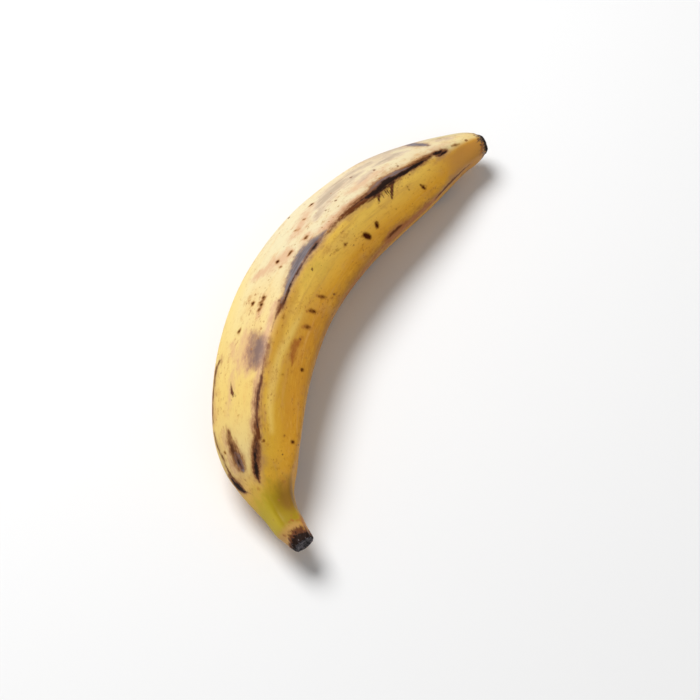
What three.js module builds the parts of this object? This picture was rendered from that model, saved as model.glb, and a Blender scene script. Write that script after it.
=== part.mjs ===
// One ripe plantain, picked and lying on its side: a single grown solid, from the cut end of its stalk
// to the dry scar where the flower sat. Millimetres and degrees, +Z up, the surface it lies on at Z = 0.
// X runs along the fruit from stalk to blossom end, and +Y is the outside of its bend.
import * as THREE from 'three';
import { mergeVertices } from 'three/addons/utils/BufferGeometryUtils.js';

// Driving dimensions.
const LENGTH = 276.2; // along the middle of the fruit, stalk and scar included
const THICKEST = 25.2; // radius over the ridges, halfway along
const STEPS_ROUND = 60;
const STEPS_ALONG = 62;

// The middle of the fruit as it lies, from stalk to blossom end: X, Y, and height over the surface.
const CENTRELINE = new THREE.CatmullRomCurve3(
  [
    [-101.1, -18.3, 16.5],
    [-91.1, -3.5, 16.8],
    [-77.2, 10.3, 17.3],
    [-54.9, 23.4, 20.0],
    [-23.3, 33.2, 22.2],
    [11.0, 36.8, 21.6],
    [46.2, 31.8, 22.2],
    [80.4, 20.4, 19.7],
    [107.6, 7.4, 16.8],
    [128.3, -4.6, 15.0],
    [142.4, -16.8, 14.5],
  ].map((point) => new THREE.Vector3(...point)),
  false,
  'catmullrom',
);

// Outline of the fruit as if it were straight: radius over the ridges, place along the middle.
const STALK_CUT = [
  [0, 0.9],
  [2.6, 0.7],
  [4.2, 0.2],
  [4.9, 0],
  [5.3, 0.5],
];
const PEEL = [
  [5.5, 1.6],
  [6.3, 6],
  [7.6, 11],
  [8.3, 18],
  [10.5, 26],
  [14.0, 34],
  [18.0, 43],
  [21.3, 56],
  [22.9, 71],
  [24.0, 90],
  [24.9, 114],
  [THICKEST, 139],
  [24.8, 164],
  [23.7, 188],
  [22.2, 210],
  [19.1, 230],
  [15.3, 246],
  [11.6, 259],
  [9.5, 267.2],
  [7.6, 271.7],
  [6.0, 274.0],
];
const BLOSSOM_SCAR = [
  [5.8, 274.5],
  [5.5, 275.4],
  [4.6, LENGTH],
  [3.0, 275.9],
  [1.5, 275.5],
  [0, 275.6],
];

// Five ridges run the length of the peel. Angles go round from the outside of the bend, with 90 on top.
const RIDGE_ANGLES = [22, 98, 162, 232, 304];
const RIDGE_ROUNDING = 6; // degrees each side over which a crest is rounded off
const RIDGE_TWIST = [
  // place along, degrees that every ridge has turned there
  [0, -36],
  [25, -25],
  [60, -8],
  [120, 0],
  [200, 3],
  [262, -4],
];
const FACE_SINK = [
  // place along, how far the middle of a face lies inside the ridges, as a share of the radius
  [0, 0.03],
  [15, 0.09],
  [45, 0.12],
  [140, 0.12],
  [235, 0.11],
  [262, 0.08],
  [273, 0.02],
];

// A smooth value at a place, through knots of [place, value].
function through(knots, place) {
  const last = knots.length - 1;
  if (place <= knots[0][0]) return knots[0][1];
  if (place >= knots[last][0]) return knots[last][1];
  const before = knots.findIndex(([at]) => at > place) - 1;
  const slope = (k) => {
    const [a, b] = [knots[Math.max(k - 1, 0)], knots[Math.min(k + 1, last)]];
    return (b[1] - a[1]) / (b[0] - a[0]);
  };
  const [[start, low], [end, high]] = [knots[before], knots[before + 1]];
  const span = end - start;
  const t = (place - start) / span;
  return (
    low * (2 * t ** 3 - 3 * t ** 2 + 1) +
    high * (3 * t ** 2 - 2 * t ** 3) +
    span * slope(before) * (t ** 3 - 2 * t ** 2 + t) +
    span * slope(before + 1) * (t ** 3 - t ** 2)
  );
}

// The section's radius as a share of its radius over the ridges: 1 on a crest, less across a face.
function faceShare(angle, place) {
  const turned = THREE.MathUtils.euclideanModulo(angle - through(RIDGE_TWIST, place), 360);
  const after = RIDGE_ANGLES.findIndex((ridge) => ridge > turned);
  const next = after < 0 ? RIDGE_ANGLES[0] + 360 : RIDGE_ANGLES[after];
  const previous = after < 0 ? RIDGE_ANGLES.at(-1) : RIDGE_ANGLES.at(after - 1) - (after ? 0 : 360);
  const eased = (degrees) => Math.hypot(degrees, RIDGE_ROUNDING) - RIDGE_ROUNDING;
  const fromCrest = eased(Math.min(turned - previous, next - turned)) / eased((next - previous) / 2);
  return 1 - through(FACE_SINK, place) * (1 - (1 - fromCrest) ** 2);
}

// The fruit turned straight, on the lathe's own Y axis.
function straightFruit() {
  const outline = new THREE.SplineCurve(PEEL.map(([radius, place]) => new THREE.Vector2(radius, place)));
  const end = (points) => points.map(([radius, place]) => new THREE.Vector2(radius, place));
  const profile = [...end(STALK_CUT), ...outline.getPoints(STEPS_ALONG), ...end(BLOSSOM_SCAR)];
  return new THREE.LatheGeometry(profile, STEPS_ROUND);
}

// Lays the straight fruit along the centreline, presses in its faces, and flattens what the surface bears.
function bend(geometry) {
  const position = geometry.getAttribute('position');
  const point = new THREE.Vector3();
  for (let i = 0; i < position.count; i++) {
    point.fromBufferAttribute(position, i);
    const place = point.y;
    const radius = Math.hypot(point.x, point.z);
    const turn = Math.atan2(point.x, point.z);
    const share = THREE.MathUtils.clamp(place / LENGTH, 0, 1);
    const ahead = CENTRELINE.getTangentAt(share);
    const up = new THREE.Vector3(0, 0, 1).addScaledVector(ahead, -ahead.z).normalize();
    const outward = up.clone().cross(ahead);
    const reach = radius * faceShare(THREE.MathUtils.radToDeg(turn), place);
    point
      .copy(CENTRELINE.getPointAt(share))
      .addScaledVector(outward, reach * Math.cos(turn))
      .addScaledVector(up, reach * Math.sin(turn));
    position.setXYZ(i, point.x, point.y, Math.max(point.z, 0));
  }
  return geometry;
}

// One closed skin: the lathe's seam and its two ends on the axis are merged.
function closed(geometry) {
  geometry.deleteAttribute('normal');
  geometry.deleteAttribute('uv');
  return mergeVertices(geometry, 1e-4);
}

// The origin is under the middle of the fruit, on the surface.
function centred(geometry) {
  geometry.computeBoundingBox();
  const middle = geometry.boundingBox.getCenter(new THREE.Vector3());
  return geometry.translate(-middle.x, -middle.y, 0);
}

const plantain = new THREE.Mesh(
  centred(closed(bend(straightFruit()))),
  new THREE.MeshStandardMaterial({ color: 0xd9a83f, roughness: 0.5, metalness: 0 }),
);
plantain.name = 'plantain';

const group = new THREE.Group();
group.add(plantain);
export default group;
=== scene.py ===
"""A ripe plantain on its side on a pale floor: its skin, colours and marks, the light and the camera."""
import math

import bmesh
import bpy
import numpy as np
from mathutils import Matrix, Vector, noise


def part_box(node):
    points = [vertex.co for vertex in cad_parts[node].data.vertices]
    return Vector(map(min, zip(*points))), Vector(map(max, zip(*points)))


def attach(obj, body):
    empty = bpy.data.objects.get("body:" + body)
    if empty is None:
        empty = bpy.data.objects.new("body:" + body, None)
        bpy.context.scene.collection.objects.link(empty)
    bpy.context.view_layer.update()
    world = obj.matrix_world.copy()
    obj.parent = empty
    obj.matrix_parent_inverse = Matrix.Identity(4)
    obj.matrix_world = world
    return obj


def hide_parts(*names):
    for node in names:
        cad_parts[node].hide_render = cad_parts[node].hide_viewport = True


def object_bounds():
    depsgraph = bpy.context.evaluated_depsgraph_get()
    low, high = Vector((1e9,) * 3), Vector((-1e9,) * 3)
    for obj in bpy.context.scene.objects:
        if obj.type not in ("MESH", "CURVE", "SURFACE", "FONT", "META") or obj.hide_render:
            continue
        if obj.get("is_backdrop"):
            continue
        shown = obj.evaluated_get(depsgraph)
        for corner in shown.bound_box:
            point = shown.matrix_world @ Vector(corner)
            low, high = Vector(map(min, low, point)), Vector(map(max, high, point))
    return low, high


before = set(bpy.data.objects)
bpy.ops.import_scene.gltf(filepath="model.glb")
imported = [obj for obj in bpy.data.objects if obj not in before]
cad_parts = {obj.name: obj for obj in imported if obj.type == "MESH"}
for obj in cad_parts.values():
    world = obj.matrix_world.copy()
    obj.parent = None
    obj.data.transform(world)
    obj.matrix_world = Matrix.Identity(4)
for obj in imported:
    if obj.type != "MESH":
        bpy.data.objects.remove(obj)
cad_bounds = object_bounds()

MM = 0.001

# ---------------------------------------- the fruit's form, in millimetres and degrees
# The fruit's middle from stalk to blossom end, before it is centred: X, Y, height over the floor.
CENTRELINE = [
    (-101.1, -18.3, 16.5), (-91.1, -3.5, 16.8), (-77.2, 10.3, 17.3), (-54.9, 23.4, 20.0),
    (-23.3, 33.2, 22.2), (11.0, 36.8, 21.6), (46.2, 31.8, 22.2), (80.4, 20.4, 19.7),
    (107.6, 7.4, 16.8), (128.3, -4.6, 15.0), (142.4, -16.8, 14.5),
]
LENGTH = 276.2
# Outline of the straight fruit: radius over the ridges, place along the middle.
STALK_CUT = [(0, 0.9), (2.6, 0.7), (4.2, 0.2), (4.9, 0.0), (5.3, 0.5)]
PEEL = [
    (5.5, 1.6), (6.3, 6), (7.6, 11), (8.3, 18), (10.5, 26), (14.0, 34), (18.0, 43),
    (21.3, 56), (22.9, 71), (24.0, 90), (24.9, 114), (25.2, 139), (24.8, 164), (23.7, 188),
    (22.2, 210), (19.1, 230), (15.3, 246), (11.6, 259), (9.5, 267.2), (7.6, 271.7), (6.0, 274.0),
]
BLOSSOM_SCAR = [(5.8, 274.5), (5.5, 275.4), (4.6, 276.2), (3.0, 275.9), (1.5, 275.5), (0, 275.6)]
# Angles go round from the outside of the bend, with 90 on top.
RIDGE_ANGLES = [22, 98, 162, 232, 304]
OUTER_RIDGE, TOP_RIDGE, INNER_RIDGE = 0, 1, 2
RIDGE_ROUNDING = 6.0
RIDGE_TWIST = [(0, -36), (25, -25), (60, -8), (120, 0), (200, 3), (262, -4)]
FACE_SINK = [(0, 0.03), (15, 0.09), (45, 0.12), (140, 0.12), (235, 0.11), (262, 0.08), (273, 0.02)]
# Heights of the fine relief: on the peel, the charred stalk end, the crust of the blossom end and the neck.
WAVES, RIPPLES = 0.28, 0.10
CHARRING, CHAR_GRAIN = 0.55, 0.28
CRUMBS, CRUMB_GRAIN = 0.40, 0.22
NECK_DENT = 0.7

STEPS_ROUND = 240
STEPS_PEEL = 352
STEPS_CUT = 14
STEPS_SCAR = 28
STEPS_CENTRELINE = 2400
MERGE_GAP = 1e-5


def spline(points, steps):
    """Points along a uniform Catmull-Rom curve through the given ones."""
    p = np.array(points, float)
    p = np.vstack([2 * p[0] - p[1], p, 2 * p[-1] - p[-2]])
    spans = len(points) - 1
    at = spans * np.arange(steps + 1) / steps
    i = np.minimum(at.astype(int), spans - 1)
    t = (at - i)[:, None]
    a, b, c, d = p[i], p[i + 1], p[i + 2], p[i + 3]
    start, end = (c - a) / 2, (d - b) / 2
    return (2 * b - 2 * c + start + end) * t**3 + (-3 * b + 3 * c - 2 * start - end) * t**2 + start * t + b


def through(knots, place):
    """A smooth value at each place, through knots of (place, value)."""
    x, y = np.array(knots, float).T
    place = np.clip(place, x[0], x[-1])
    slope = np.gradient(y, x)
    slope[1:-1] = (y[2:] - y[:-2]) / (x[2:] - x[:-2])
    i = np.clip(np.searchsorted(x, place, side="right") - 1, 0, len(x) - 2)
    span = x[i + 1] - x[i]
    t = (place - x[i]) / span
    rise = y[i] * (2 * t**3 - 3 * t**2 + 1) + y[i + 1] * (3 * t**2 - 2 * t**3)
    return rise + span * (slope[i] * (t**3 - 2 * t**2 + t) + slope[i + 1] * (t**3 - t**2))


def ramp(value, start, end):
    """0 up to start, 1 from end on, and even between them. Where end comes before start, it falls."""
    return np.clip((value - start) / (end - start), 0, 1)


def face_share(turn, place):
    """The section's radius as a share of its radius over the ridges."""
    turned = (turn - through(RIDGE_TWIST, place)) % 360
    ridges = np.array([RIDGE_ANGLES[-1] - 360, *RIDGE_ANGLES, RIDGE_ANGLES[0] + 360], float)
    i = np.clip(np.searchsorted(ridges, turned, side="right") - 1, 0, len(ridges) - 2)
    low, high = ridges[i], ridges[i + 1]
    eased = lambda degrees: np.hypot(degrees, RIDGE_ROUNDING) - RIDGE_ROUNDING
    from_crest = eased(np.minimum(turned - low, high - turned)) / eased((high - low) / 2)
    return 1 - through(FACE_SINK, place) * (1 - (1 - from_crest) ** 2)


def even(points, steps):
    """Evenly spaced points on straight lines through the given ones."""
    p = np.array(points, float)
    run = np.r_[0, np.cumsum(np.linalg.norm(np.diff(p, axis=0), axis=1))]
    at = np.linspace(0, run[-1], steps + 1)
    return np.stack([np.interp(at, run, p[:, k]) for k in range(2)], 1)


def straight_fruit():
    """The fruit turned straight about Z by a spin of its outline."""
    outline = np.vstack([
        even(STALK_CUT, STEPS_CUT), spline(PEEL, STEPS_PEEL), even(BLOSSOM_SCAR, STEPS_SCAR),
    ])
    bm = bmesh.new()
    verts = [bm.verts.new((radius, 0, place)) for radius, place in outline]
    edges = [bm.edges.new(pair) for pair in zip(verts, verts[1:])]
    bmesh.ops.spin(
        bm, geom=verts + edges, cent=(0, 0, 0), axis=(0, 0, 1), angle=2 * math.pi, steps=STEPS_ROUND,
        use_merge=True,
    )
    bmesh.ops.remove_doubles(bm, verts=bm.verts[:], dist=MERGE_GAP)
    bmesh.ops.recalc_face_normals(bm, faces=bm.faces[:])
    mesh = bpy.data.meshes.new("plantain_skin")
    bm.to_mesh(mesh)
    bm.free()
    return mesh


def field_noise(x, y, z, scale, stretch=1.0):
    """Smooth noise from -1 to 1 at each point, with features about scale long, longer along the fruit."""
    k = 1 / scale
    return np.array([noise.noise((a * k, b * k, c * k / stretch)) for a, b, c in zip(x, y, z)])


mesh = straight_fruit()
straight = np.empty(len(mesh.vertices) * 3)
mesh.vertices.foreach_get("co", straight)
straight = straight.reshape(-1, 3)
PLACE = straight[:, 2]
RADIUS = np.hypot(straight[:, 0], straight[:, 1])
TURN = np.degrees(np.arctan2(straight[:, 1], straight[:, 0])) % 360


def degrees_past(turn):
    """How far each point is past that turn, from -180 to 180."""
    return (TURN - turn + 180) % 360 - 180


def hill(place, turn, long, wide):
    """A soft round hill from 0 to 1 at (place, turn), long and wide in millimetres."""
    across = np.radians(degrees_past(turn)) * np.maximum(RADIUS, 1)
    return np.exp(-(((PLACE - place) / long) ** 2) - (across / wide) ** 2)


def relief():
    """How far each point stands out from the plain form, in millimetres."""
    x, y, z = straight.T
    peel = WAVES * field_noise(x, y, z, 24, 1.8) + RIPPLES * field_noise(x + 50, y, z, 7, 3.0)
    charred = CHARRING * field_noise(x, y, z, 3.2, 1.4) + CHAR_GRAIN * field_noise(x, y + 9, z, 1.2, 1.5)
    crust = CRUMBS * field_noise(x, y, z + 30, 2.6) + CRUMB_GRAIN * field_noise(x, y, z + 70, 1.0)
    out = peel * ramp(PLACE, 10, 30) * ramp(PLACE, 270, 255)
    out += charred * ramp(PLACE, 9, 2) + crust * ramp(PLACE, 270.5, 273.5)
    out -= NECK_DENT * hill(24, 112, 7, 6)
    return out * ramp(RADIUS, 0, 3)


def bent(reach):
    """The points of the straight fruit laid along the centreline, at that reach from it."""
    line = spline(CENTRELINE, STEPS_CENTRELINE)
    run = np.r_[0, np.cumsum(np.linalg.norm(np.diff(line, axis=0), axis=1))]
    share = np.clip(PLACE / LENGTH, 0, 1) * run[-1]
    middle = np.stack([np.interp(share, run, line[:, k]) for k in range(3)], 1)
    along = np.gradient(line, run, axis=0)
    ahead = np.stack([np.interp(share, run, along[:, k]) for k in range(3)], 1)
    ahead /= np.linalg.norm(ahead, axis=1)[:, None]
    up = np.array([0.0, 0.0, 1.0]) - ahead * ahead[:, 2:3]
    up /= np.linalg.norm(up, axis=1)[:, None]
    outward = np.cross(up, ahead)
    a = np.radians(TURN)[:, None]
    return middle + reach[:, None] * (np.cos(a) * outward + np.sin(a) * up)


points = bent(RADIUS * face_share(TURN, PLACE) + relief()) * MM
points[:, 2] = np.maximum(points[:, 2], 0)
low, high = (np.array(corner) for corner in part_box("plantain"))
points = (points - points.min(0)) / (points.max(0) - points.min(0)) * (high - low) + low
mesh.vertices.foreach_set("co", points.ravel())
mesh.update()
mesh.shade_smooth()

# ---------------------------------------- marks on the peel
# Each stroke is a run of (place along, turn round, half width), in millimetres and degrees. A fourth
# number is its strength there, which is 1 without it.
MARKS = {
    # Weathered grey streaks, their lighter grey partly a painted sheen.
    "slate": [
        [(163, 98, 1.0, 0.35), (158, 97, 1.6, 0.7), (154, 94.5, 2.2), (150, 93, 2.7), (145, 93, 2.8),
         (140, 93.5, 2.6), (136, 94.5, 2.3), (131, 95.5, 2.0, 0.95), (127, 96, 1.7, 0.8),
         (121, 96, 1.4, 0.5), (116, 96, 1.2, 0.3)],
        [(193, 98, 0.7, 0.4), (199, 98.5, 1.2, 0.75), (206, 99, 1.6, 0.9), (213, 99.5, 1.5, 0.85),
         (219, 100.5, 1.0, 0.6), (225, 102, 0.6, 0.4)],
        [(238.5, 28, 1.2, 0.5), (240, 37, 2.2, 0.9), (240.5, 46, 2.4, 1.05), (241.5, 55, 2.2, 1.05),
         (242.5, 63, 2.0, 0.95), (243, 71, 1.5, 0.75), (244, 78, 0.9, 0.4)],
        [(48, 44, 0.8, 0.4), (46, 45.5, 1.5, 0.85), (43, 46.5, 1.7, 0.95), (40.5, 47, 1.4, 0.8),
         (38.5, 47, 0.8, 0.4)],
        [(62, 224, 0.8, 0.6), (72, 228, 1.8), (84, 230, 2.4), (97, 231, 2.2), (108, 232, 1.4, 0.8)],
        [(150, 305, 1.0, 0.7), (162, 304, 2.2), (176, 303, 3.0), (190, 303, 2.4), (204, 304, 1.2, 0.7)],
        [(215, 262, 1.0, 0.6), (224, 266, 2.0, 0.9), (232, 268, 1.0, 0.6)],
    ],
    # Deep purple bruises.
    "purple": [
        [(98, 82, 2.2, 0.5), (94.5, 84, 3.4, 0.95), (90.5, 85, 3.8, 1.15), (87, 86, 3.2, 1.0),
         (83.5, 86, 2.2, 0.5)],
        [(98, 75, 2.8, 0.6), (91, 76, 3.6, 0.72), (85, 78, 3.0, 0.55)],
        [(118, 344, 2.2, 0.6), (126, 340, 3.4, 0.8), (133, 341, 2.4, 0.5)],
    ],
    # Wide dark brown streaks, mostly round the black ones.
    "umber": [
        [(190, 99, 0.9, 0.6), (195, 99, 1.6, 0.9), (201, 100, 2.0), (207, 100, 2.1), (213, 101, 1.8),
         (219, 101, 1.4), (226, 102, 1.1, 0.9), (232, 103, 0.8, 0.8)],
        [(57, 42, 1.0, 0.6), (53, 41, 1.6, 0.7), (49, 43, 2.2, 0.8), (45, 45, 2.7), (42, 46, 2.2, 0.9),
         (40, 45, 1.2, 0.6)],
        [(120, 97, 0.8, 0.4), (116, 97, 1.5, 0.6), (112, 97, 1.6, 0.55), (108, 97, 1.0, 0.3)],
        [(52, 86, 1.1, 0.8), (48, 83.5, 1.5, 1.0), (44, 79, 1.6, 1.15), (40, 74.5, 1.6, 1.15),
         (37, 71, 1.4, 1.1), (34, 68.5, 1.1, 0.9), (32, 68, 0.7, 0.6)],
        [(98, 96, 1.0, 0.25), (88, 94, 1.2, 0.3), (78, 92, 1.6, 0.4), (68, 90, 1.9, 0.5),
         (60, 88, 2.0, 0.55), (54, 86, 1.7, 0.5)],
        [(190, 101, 1.6, 0.6), (182, 100, 1.7, 0.6), (174, 99, 1.3, 0.5), (166, 99, 0.9, 0.25)],
        [(238, 101, 1.2, 0.7), (232, 102, 1.7, 0.75), (225, 102, 1.7, 0.7)],
        [(239, 99, 0.7, 0.6), (242, 101, 1.1, 0.8), (246, 103, 1.2, 0.8), (249.5, 104, 0.8, 0.6)],
        [(41, 12, 0.9, 0.7), (37, 14, 1.5, 0.9), (33, 20, 1.1, 0.7)],
        [(66, 229, 0.9, 0.7), (80, 230, 1.6, 0.9), (96, 231, 1.8, 0.9), (112, 232, 1.0, 0.8)],
        [(146, 306, 1.0, 0.7), (162, 306, 2.0, 0.9), (184, 305, 2.2, 0.9), (206, 306, 1.0, 0.7)],
    ],
    # Black streaks.
    "black": [
        [(182, 100, 0.4, 0.5), (189, 102, 0.6, 0.8), (194, 103, 1.0), (198, 103.5, 1.5), (203, 103, 1.6),
         (208, 103, 1.4), (213, 103.5, 1.0), (219, 104, 0.8), (226, 104, 0.7), (231, 104, 0.6, 0.9),
         (234.5, 103, 0.4, 0.6)],
        [(47, 44, 0.9, 0.55), (44.5, 45, 1.2, 0.65), (41, 46.5, 0.9, 0.5)],
        [(158, 98, 0.4, 0.4), (155, 98, 0.7, 0.75), (152, 98, 0.8, 0.85), (148, 98, 0.6, 0.7),
         (144, 98, 0.5, 0.7), (138, 98, 0.5, 0.7), (133, 98, 0.5, 0.75), (127, 98, 0.5, 0.8),
         (121, 98, 0.5, 0.8), (117, 98, 0.5, 0.7), (113, 98, 0.4, 0.6)],
        [(240.5, 100, 0.5, 0.7), (243, 101, 0.7, 0.9), (246, 101, 0.5, 0.7)],
        [(243, 107, 0.4, 0.6), (246, 106, 0.5, 0.9), (249, 106, 0.4, 0.7)],
        [(48, 83.5, 0.6, 0.6), (44, 79, 1.1, 0.75), (40, 74.5, 1.1, 0.8), (36, 70.5, 1.1, 0.85),
         (33.5, 69, 0.8, 0.6)],
        [(79, 92, 0.35, 0.55), (73, 91.5, 0.45, 0.7), (68, 91, 0.35, 0.6), (62, 89.5, 0.45, 0.7),
         (55, 88, 0.4, 0.6)],
        [(40, 12, 0.5, 0.6), (38, 12, 1, 0.9), (36, 14, 1.2), (34, 16, 1, 0.9), (32, 24, 0.5, 0.6)],
        [(70, 229, 0.5, 0.7), (80, 230, 0.9, 0.9), (92, 230, 1.0), (104, 231, 0.7, 0.8),
         (118, 232, 0.5, 0.7)],
        [(146, 306, 0.5, 0.7), (158, 306, 1.0, 0.9), (170, 306, 1.4), (184, 305, 1.2),
         (198, 306, 0.8, 0.9), (212, 306, 0.5, 0.6)],
        [(238, 236, 0.5, 0.8), (246, 233, 1.0), (254, 232, 0.6, 0.8)],
        [(98, 262, 1.2, 0.9), (101, 266, 0.8, 0.8)],
        [(190, 250, 1.1, 0.9)],
    ],
    # Thin brown lines.
    "brown": [
        [(194, 104, 1.2, 0.9), (189, 103, 1.5), (185, 102, 1.5), (180, 101, 1.4), (175, 100, 1.2, 0.85),
         (171, 101, 0.9, 0.65), (167, 101, 0.8, 0.5), (163, 101, 0.8, 0.45), (159, 99, 0.8, 0.5)],
        [(116, 98, 0.7, 0.8), (112, 97, 0.7, 0.8), (108, 96, 0.7, 0.55), (104, 96, 0.6, 0.35),
         (98, 95, 0.5, 0.25), (91, 94, 0.5, 0.2), (84, 93, 0.6, 0.3), (79, 92, 0.8, 0.7),
         (75, 92, 0.8, 0.9), (70, 91, 0.7, 0.9), (65, 90, 0.8, 0.9), (61, 89, 1.0), (56, 88, 0.9),
         (50, 88, 1.0)],
        [(190, 104, 1.2, 0.5), (196, 107, 1.6, 0.6), (203, 108, 1.5, 0.6), (209, 108, 1.0, 0.5)],
        [(263, 168, 0.5, 0.5), (254, 167, 0.8, 0.8), (245, 165, 1.0, 0.9), (238, 166, 1.0, 0.9),
         (230, 167, 0.7, 0.7)],
        [(89, 28, 0.9, 0.8), (87, 24, 0.8, 0.8), (82, 22, 0.8, 0.7), (76, 20, 0.9, 0.7),
         (69, 19, 0.8, 0.7), (63, 17, 0.7, 0.6)],
        [(59, 16, 0.6, 0.6), (54, 17, 0.7, 0.7), (49, 18, 0.7, 0.7), (44, 16, 0.7, 0.7),
         (40, 15, 0.7, 0.7)],
        [(248, 48, 0.4, 0.5), (256, 52, 0.4, 0.5), (262, 55, 0.4, 0.5), (269, 57, 0.4, 0.5),
         (274, 64, 0.5, 0.6), (277, 65, 0.6, 0.8)],
        [(200, 160, 0.6, 0.6), (194, 160, 0.8, 0.75), (189, 161, 0.6, 0.6)],
        [(48, 290, 0.5, 0.7), (66, 297, 0.7, 0.9), (88, 300, 0.6, 0.8), (110, 303, 0.5, 0.7),
         (130, 304, 0.6, 0.8), (150, 305, 0.6, 0.8)],
        [(214, 306, 0.5, 0.8), (232, 307, 0.6, 0.8), (250, 304, 0.5, 0.6)],
        [(32, 212, 0.5, 0.6), (44, 217, 1.2, 0.9), (56, 223, 0.9, 0.8), (70, 228, 0.6, 0.8)],
        [(124, 232, 0.5, 0.7), (146, 233, 0.7, 0.9), (168, 234, 0.6, 0.8), (190, 235, 0.8, 0.9),
         (212, 235, 0.9, 0.9), (232, 234, 0.5, 0.7)],
        [(112, 282, 0.5, 0.8), (116, 285, 0.8), (120, 284, 0.4, 0.7)],
        [(168, 200, 0.5, 0.8), (174, 203, 0.8), (180, 201, 0.4, 0.7)],
    ],
    # Short scratches.
    "scratch": [
        [(209, 105, 0.9), (206.5, 112, 0.9), (204.5, 119, 0.8, 0.9), (203, 124, 0.6, 0.7)],
        [(198, 106, 0.9), (196.5, 112, 0.7, 0.9), (195.5, 117, 0.6, 0.7)],
        [(78, 49, 0.4, 0.5), (75, 51, 0.6, 0.8), (73, 52, 0.8), (71.5, 54, 0.6, 0.8)],
        [(73, 55, 0.4, 0.6), (71, 58, 0.5, 0.6)],
        [(66, 54, 0.5, 0.4), (64, 55, 0.4, 0.4)],
        [(116, 284, 0.6, 0.9), (118, 290, 0.5, 0.8)],
        [(168, 252, 0.5, 0.9), (166, 260, 0.6, 0.9), (167, 266, 0.4, 0.7)],
    ],
    # Where fine brown lines run round the fruit, beside the black streaks.
    "fringe": [
        [(190, 107, 2.0, 0.7), (196, 110, 3.2), (203, 112, 3.6), (209, 111, 2.8, 0.9),
         (214, 109, 1.6, 0.6)],
        [(152, 303, 1.8, 0.6), (170, 300, 3.4, 0.9), (188, 299, 2.6, 0.8)],
    ],
    # Rust coloured blotches.
    "rust": [
        [(104.5, 137, 1.2, 0.7), (102, 133, 1.7, 0.85), (99.5, 129, 2.0, 0.95), (96.4, 129, 2.2, 0.95),
         (93, 130, 1.9, 0.85), (90, 131, 1.2, 0.6)],
        [(85.5, 132, 1.3, 0.55)],
        [(131.6, 133, 0.8, 0.5), (133.4, 139, 1.5, 0.8), (134.6, 143, 1.2, 0.7)],
        [(120, 129, 0.9, 0.6), (121.5, 135, 1.5, 0.8), (122, 139, 1.5, 0.8)],
        [(110, 131, 0.9, 0.5), (111.6, 137, 1.5, 0.8), (112.2, 141, 1.2, 0.7)],
        [(82.5, 120, 1.0, 0.5)],
        [(101, 118, 0.9, 0.4)],
        # The next two run along the inner ridge: rust, darkened further as painted shade.
        [(234, 169, 1.6, 0.7), (222, 168, 2.4, 0.9), (210, 167, 2.6, 1.0), (201, 166, 2.8, 1.05),
         (192, 164, 2.6, 1.0), (184, 165, 2.0, 0.8)],
        [(180, 168, 1.5, 0.6), (168, 170, 1.8, 0.7), (152, 170, 1.6, 0.7), (140, 168, 1.5, 0.6)],
        [(275, 100, 0.8, 0.8), (274, 124, 0.9, 0.9), (272, 149, 0.8, 0.9), (270, 160, 0.8, 0.6)],
        [(236, 100, 0.8, 0.9)],
        [(30, 56, 0.8, 0.6)],
        [(10.6, 82, 0.6, 0.7)],
        [(11.2, 96, 0.8, 0.7), (10.4, 100, 0.6, 0.7)],
        [(13.2, 106, 0.5, 0.6)],
        [(9.6, 116, 0.7, 0.7), (9.0, 124, 0.5, 0.6)],
        [(13, 140, 1.0, 0.5), (9, 142, 1.8, 0.8), (6, 140, 1.6, 0.8)],
        [(9, 30, 0.7, 0.7), (7, 34, 0.9, 0.8)],
        [(88, 196, 1.6, 0.7), (100, 200, 2.4, 0.8), (112, 198, 1.8, 0.6)],
        [(142, 268, 1.8, 0.6), (152, 272, 2.6, 0.8), (160, 270, 1.6, 0.6)],
        [(200, 332, 1.6, 0.6), (208, 336, 2.2, 0.7), (216, 334, 1.4, 0.5)],
        [(56, 318, 1.4, 0.5), (64, 322, 2.0, 0.7), (72, 320, 1.2, 0.5)],
        [(232, 288, 1.4, 0.6), (240, 286, 2.0, 0.7), (246, 288, 1.2, 0.5)],
    ],
    # Soft blotches, pinkish brown.
    "blush": [
        [(146, 76, 2.6, 0.8), (143, 72, 3.6, 1.0), (140, 66, 3.8, 1.0), (135, 60, 3.2, 0.8)],
        [(95, 46, 2.2, 0.5), (91, 50, 2.4, 0.6), (87, 57, 2.6, 0.7), (83, 62, 2.4, 0.7),
         (79, 60, 1.4, 0.4)],
        [(97, 64, 3.0, 0.7), (92, 68, 3.6, 0.95), (86, 70, 3.4, 0.9), (81, 74, 2.2, 0.5)],
        [(105, 60, 2.2, 0.4), (100, 61, 2.8, 0.7), (94, 60, 3.2, 0.8), (88, 59, 2.8, 0.6)],
        [(84, 54, 2.4, 0.5), (77, 51, 2.6, 0.6), (70, 48, 2.4, 0.5), (64, 46, 1.8, 0.3)],
        [(162, 92, 2, 0.8), (167, 95, 2.2, 0.9), (173, 96, 2.2, 0.9), (180, 95, 2.0, 0.9),
         (187, 95, 1.6, 0.7)],
        [(115, 90, 1.6, 0.8), (109, 90, 1.4, 0.8), (102, 91, 1.4, 0.8), (96, 90, 1.4, 0.9),
         (90, 90, 1.4, 0.9), (83, 90, 1.2, 0.9), (76, 87, 1.2, 0.8), (69, 86, 1.2, 0.8),
         (62, 84, 1.2, 0.8), (55, 82, 1.2, 0.8)],
        [(57, 34, 1.4, 0.5), (51, 34, 1.8, 0.5), (46, 30, 1.6, 0.7), (41, 28, 1.6, 0.7)],
        [(174, 49, 2.2, 0.6), (167, 56, 3.0, 0.8), (159, 64, 3.4, 0.8), (153, 62, 2.6, 0.5)],
        [(119, 72, 2.2, 0.5), (111, 73, 2.4, 0.7), (107, 74, 1.4, 0.4)],
        [(137, 60, 2.0, 0.9), (133, 53, 2.2, 1.0), (130, 45, 1.8, 0.9), (128, 40, 1.4, 0.5)],
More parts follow.
